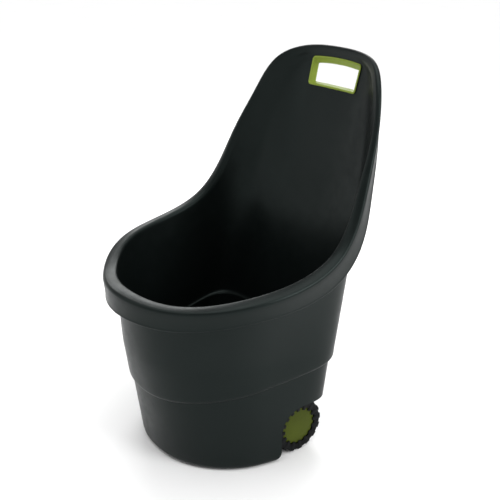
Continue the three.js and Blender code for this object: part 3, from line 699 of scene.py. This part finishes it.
def moulded(name, color, rough, grain_mm, grain, mottle=0.12, scuff=0.25, dust_amount=0.05,
            spec=0.5, tint=(1, 1, 1)):
    """Injection-moulded plastic: spark-eroded grain, cloudy gloss, fine hair scuffs and a trace of dust."""
    m, nt, bs = new_material(name)
    L = nt.links.new
    co = add(nt, "ShaderNodeTexCoord").outputs["Object"]
    fine = add(nt, "ShaderNodeTexNoise", Scale=1000.0 / grain_mm, Detail=3.0, Roughness=0.6)
    cloud = add(nt, "ShaderNodeTexNoise", Scale=7.0, Detail=4.0, Roughness=0.55)
    patch = add(nt, "ShaderNodeTexNoise", Scale=38.0, Detail=5.0, Roughness=0.65)
    stretch = add(nt, "ShaderNodeMapping")
    stretch.inputs["Scale"].default_value = (90.0, 90.0, 900.0)
    stretch.inputs["Rotation"].default_value = (0.35, 0.2, 0.6)
    hair = add(nt, "ShaderNodeTexNoise", Scale=1.0, Detail=2.0, Roughness=0.5)
    for n in (fine, cloud, patch):
        L(co, n.inputs["Vector"])
    L(co, stretch.inputs["Vector"])
    L(stretch.outputs["Vector"], hair.inputs["Vector"])
    c = np.array(color)
    tone = ramp(nt, cloud.outputs["Fac"], [(0.3, tuple(c * (1 - mottle))), (0.7, tuple(c * (1 + mottle)))])
    scuffs = ramp(nt, hair.outputs["Fac"], [(0.68, 0.0), (0.76, 1.0)])
    gate = ramp(nt, patch.outputs["Fac"], [(0.52, 0.0), (0.66, 1.0)])
    both = add(nt, "ShaderNodeMath", operation="MULTIPLY")
    L(scuffs, both.inputs[0])
    L(gate, both.inputs[1])
    amount = add(nt, "ShaderNodeMath", operation="MULTIPLY")
    amount.inputs[1].default_value = scuff
    L(both.outputs[0], amount.inputs[0])
    scuffed = add(nt, "ShaderNodeMix", data_type="RGBA")
    L(amount.outputs[0], scuffed.inputs[0])
    L(tone, scuffed.inputs[6])
    scuffed.inputs[7].default_value = (*[min(1, x * 2.6 + 0.02) for x in color], 1)
    # dust settles on faces that look up
    geo = add(nt, "ShaderNodeNewGeometry")
    sep = add(nt, "ShaderNodeSeparateXYZ")
    L(geo.outputs["Normal"], sep.inputs[0])
    upward = ramp(nt, sep.outputs["Z"], [(0.35, 0.0), (1.0, 1.0)])
    speck = ramp(nt, patch.outputs["Fac"], [(0.35, 0.35), (0.7, 1.0)])
    dm = add(nt, "ShaderNodeMath", operation="MULTIPLY")
    L(upward, dm.inputs[0])
    L(speck, dm.inputs[1])
    dk = add(nt, "ShaderNodeMath", operation="MULTIPLY")
    dk.inputs[1].default_value = dust_amount
    L(dm.outputs[0], dk.inputs[0])
    dusty = add(nt, "ShaderNodeMix", data_type="RGBA")
    L(dk.outputs[0], dusty.inputs[0])
    L(scuffed.outputs[2], dusty.inputs[6])
    dusty.inputs[7].default_value = (*DUST, 1)
    L(dusty.outputs[2], bs.inputs["Base Color"])
    rr = ramp(nt, patch.outputs["Fac"], [(0.3, rough - ROUGH_VAR), (0.7, rough + ROUGH_VAR)])
    rmix = add(nt, "ShaderNodeMath", operation="MULTIPLY_ADD")
    rmix.inputs[1].default_value = 0.25
    L(amount.outputs[0], rmix.inputs[0])
    L(rr, rmix.inputs[2])
    L(rmix.outputs[0], bs.inputs["Roughness"])
    b1 = add(nt, "ShaderNodeBump", Strength=grain, Distance=0.0002)
    L(fine.outputs["Fac"], b1.inputs["Height"])
    b2 = add(nt, "ShaderNodeBump", Strength=0.10, Distance=0.002)
    L(cloud.outputs["Fac"], b2.inputs["Height"])
    L(b1.outputs["Normal"], b2.inputs["Normal"])
    L(b2.outputs["Normal"], bs.inputs["Normal"])
    bs.inputs["Specular IOR Level"].default_value = spec
    bs.inputs["Specular Tint"].default_value = (*tint, 1)
    return m


def zinc(name):
    """Zinc-plated drawn steel: spangle, cloudy gloss and fine draw lines along the axle."""
    m, nt, bs = new_material(name)
    L = nt.links.new
    co = add(nt, "ShaderNodeTexCoord").outputs["Object"]
    spangle = add(nt, "ShaderNodeTexVoronoi", Scale=420.0)
    noise = add(nt, "ShaderNodeTexNoise", Scale=160.0, Detail=4.0)
    mp = add(nt, "ShaderNodeMapping")
    mp.inputs["Scale"].default_value = (40.0, 2600.0, 2600.0)
    draw = add(nt, "ShaderNodeTexNoise", Scale=1.0, Detail=2.0)
    for n in (spangle, noise, mp):
        L(co, n.inputs["Vector"])
    L(mp.outputs["Vector"], draw.inputs["Vector"])
    col = ramp(nt, spangle.outputs["Distance"], [(0.0, (0.50, 0.51, 0.52)), (1.0, (0.38, 0.39, 0.41))])
    L(col, bs.inputs["Base Color"])
    L(ramp(nt, noise.outputs["Fac"], [(0.3, 0.26), (0.7, 0.42)]), bs.inputs["Roughness"])
    bump = add(nt, "ShaderNodeBump", Strength=0.25, Distance=0.0001)
    L(draw.outputs["Fac"], bump.inputs["Height"])
    L(bump.outputs["Normal"], bs.inputs["Normal"])
    bs.inputs["Metallic"].default_value = 1.0
    return m


M_TUB = moulded("tub_plastic", (0.0036, 0.0050, 0.0048), rough=0.36, grain_mm=0.9, grain=0.22,
                scuff=0.45, dust_amount=0.004, spec=0.17, tint=(0.8, 1.0, 0.96))
M_GRIP = moulded("grip_lime", (0.22, 0.29, 0.036), rough=0.42, grain_mm=0.8, grain=0.15,
                 mottle=0.05, scuff=0.12, dust_amount=0.0, spec=0.2)
M_CORE = moulded("wheel_black", (0.006, 0.0065, 0.007), rough=0.46, grain_mm=0.9, grain=0.2,
                 scuff=0.3, dust_amount=0.04, spec=0.25)
M_TYRE = moulded("tyre_black", (0.0022, 0.0027, 0.0030), rough=0.55, grain_mm=1.1, grain=0.35,
                 scuff=0.4, dust_amount=0.02, spec=0.10)
# hub cover: the grip's lime painted much darker, painted shade standing in for the shadow under the tub
M_HUB_SHADED = moulded("hub_lime", (0.050, 0.064, 0.0075), rough=0.50, grain_mm=0.8, grain=0.18,
                mottle=0.22, scuff=0.15, dust_amount=0.0, spec=0.06)
M_ZINC = zinc("zinc_steel")


def finish_piece(ob, material, body, nodes):
    ob.data.materials.clear()
    ob.data.materials.append(material)
    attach(ob, body)
    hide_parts(*nodes)


# ---------------------------------------------------------------- build
finish_piece(make_tub(), M_TUB, "cart", ["tub"])
finish_piece(make_grip(), M_GRIP, "cart", ["grip_insert"])
CHAMFER = 0.8
half_rod = [(AXLE_R, 60), (AXLE_R, AXLE_HALF - CHAMFER), (AXLE_R - CHAMFER, AXLE_HALF), (0, AXLE_HALF)]
rod = lathe("axle_rod", [(r, -x) for r, x in half_rod[::-1]] + half_rod, 64)
shade(rod)
finish_piece(rod, M_ZINC, "cart", ["axle"])
BORE_R = AXLE_R + RUN
RINGS = (                                 # piece, CAD node, profile of (radius, x)
    ("thrust_washer_", "inner_washer_",
     [(BORE_R, 138.5), (10.7, 138.5), (11, 138.8), (11, 140.2), (10.7, 140.5), (BORE_R, 140.5)]),
    ("end_washer_", "outer_washer_",
     [(BORE_R, 182.5), (9.7, 182.5), (10, 182.8), (10, 183.7), (9.7, 184), (BORE_R, 184)]),
    ("cap_nut_", "push_nut_",
     [(BORE_R, 184.4), (8.8, 184.4), (9, 184.6), (9, 185.2), (8.8, 185.4), (7.4, 186.6), (6.6, 187.6),
      (BORE_R, 187.6)]),
)
for name, s in (("left", -1), ("right", 1)):
    wheel = "wheel_" + name
    finish_piece(make_tyre(s, "tread_" + name), M_TYRE, wheel, ["tyre_" + name])
    finish_piece(make_core(s, "rim_" + name), M_CORE, wheel, ["wheel_core_" + name])
    finish_piece(make_cover(s, "cover_" + name), M_HUB_SHADED, wheel, ["hub_cover_" + name])
    for label, node, prof in RINGS:
        ob = lathe(label + name, prof, 48, s)
        shade(ob, 30)
        finish_piece(ob, M_ZINC, "cart", [node + name])


# ---------------------------------------------------------------- floor, light, camera
def stage_material():
    m, nt, bs = new_material("studio_paper")
    n = add(nt, "ShaderNodeTexNoise", Scale=3.0, Detail=2.0)
    nt.links.new(add(nt, "ShaderNodeTexCoord").outputs["Object"], n.inputs["Vector"])
    nt.links.new(ramp(nt, n.outputs["Fac"], [(0.3, 0.89), (0.7, 0.91)]), bs.inputs["Base Color"])
    bs.inputs["Roughness"].default_value = 0.9
    return m


FLOOR_HALF, FLOOR_Z = 40, -0.0005
floor = mesh_object("studio_floor", [(x * FLOOR_HALF, y * FLOOR_HALF, FLOOR_Z)
                                     for x, y in ((-1, -1), (1, -1), (1, 1), (-1, 1))], [[0, 1, 2, 3]])
floor.data.materials.append(stage_material())

SKY = [(0.0, 1.0), (0.10, 0.95), (0.40, 0.42), (1.0, 0.30)]       # brightness by height, white at the floor
world = bpy.data.worlds.new("studio")
bpy.context.scene.world = world
world.use_nodes = True
nt = world.node_tree
height = add(nt, "ShaderNodeSeparateXYZ")
nt.links.new(add(nt, "ShaderNodeTexCoord").outputs["Generated"], height.inputs[0])
nt.links.new(ramp(nt, height.outputs["Z"], SKY), nt.nodes["Background"].inputs["Color"])
nt.nodes["Background"].inputs["Strength"].default_value = 1.0
bpy.context.scene.view_settings.view_transform = "Standard"


def area_light(name, place, target, size, power):
    data = bpy.data.lights.new(name, "AREA")
    data.shape, data.size, data.size_y, data.energy = "RECTANGLE", size[0], size[1], power
    ob = bpy.data.objects.new(name, data)
    bpy.context.scene.collection.objects.link(ob)
    ob.location = place
    ob.rotation_mode = "QUATERNION"
    ob.rotation_quaternion = (Vector(target) - Vector(place)).to_track_quat("-Z", "Y")
    return ob


overhead = bpy.data.lights.new("overhead", "SUN")
overhead.energy, overhead.angle = 2.3, math.radians(70)
overhead_ob = bpy.data.objects.new("overhead", overhead)
bpy.context.scene.collection.objects.link(overhead_ob)
area_light("key", (-1.3, -2.2, 2.0), (0, 0, 0.6), (0.6, 1.6), 6)
area_light("side", (2.5, 0.9, 1.7), (0, 0, 0.4), (1.2, 1.6), 45)
REAR = ((-2.2, 1.6, 1.75), (0, 0, 0.45), (2.2, 0.9))
area_light("rear", *REAR, 30)
rear_fill = area_light("rear_fill", *REAR, 26)
rear_fill.visible_glossy = False        # it lights the back without glinting along it

# azimuth from the front towards the right, elevation and roll in degrees; the rest in metres and mm
CAM_AZ, CAM_EL, CAM_ROLL, CAM_DIST, CAM_LENS = 53.34, 22.47, 0.125, 1.7491, 57.13
CAM_ACROSS, CAM_Y, CAM_Z = 0.0179, 0.028, 0.4213      # the point that it looks at
az, el, roll = (math.radians(v) for v in (CAM_AZ, CAM_EL, CAM_ROLL))
back = Vector((math.sin(az) * math.cos(el), -math.cos(az) * math.cos(el), math.sin(el)))
right = Vector((math.cos(az), math.sin(az), 0))
up = back.cross(right)
right, up = math.cos(roll) * right + math.sin(roll) * up, -math.sin(roll) * right + math.cos(roll) * up
target = Vector((math.cos(az), math.sin(az), 0)) * CAM_ACROSS + Vector((0, CAM_Y + Y_SHIFT, CAM_Z))
cam_data = bpy.data.cameras.new("camera")
cam_data.sensor_width = 36.0
cam_data.lens = CAM_LENS
cam = bpy.data.objects.new("camera", cam_data)
bpy.context.scene.collection.objects.link(cam)
facing = Matrix((right, up, back)).transposed().to_4x4()
cam.matrix_world = Matrix.Translation(target + back * CAM_DIST) @ facing
bpy.context.scene.camera = cam
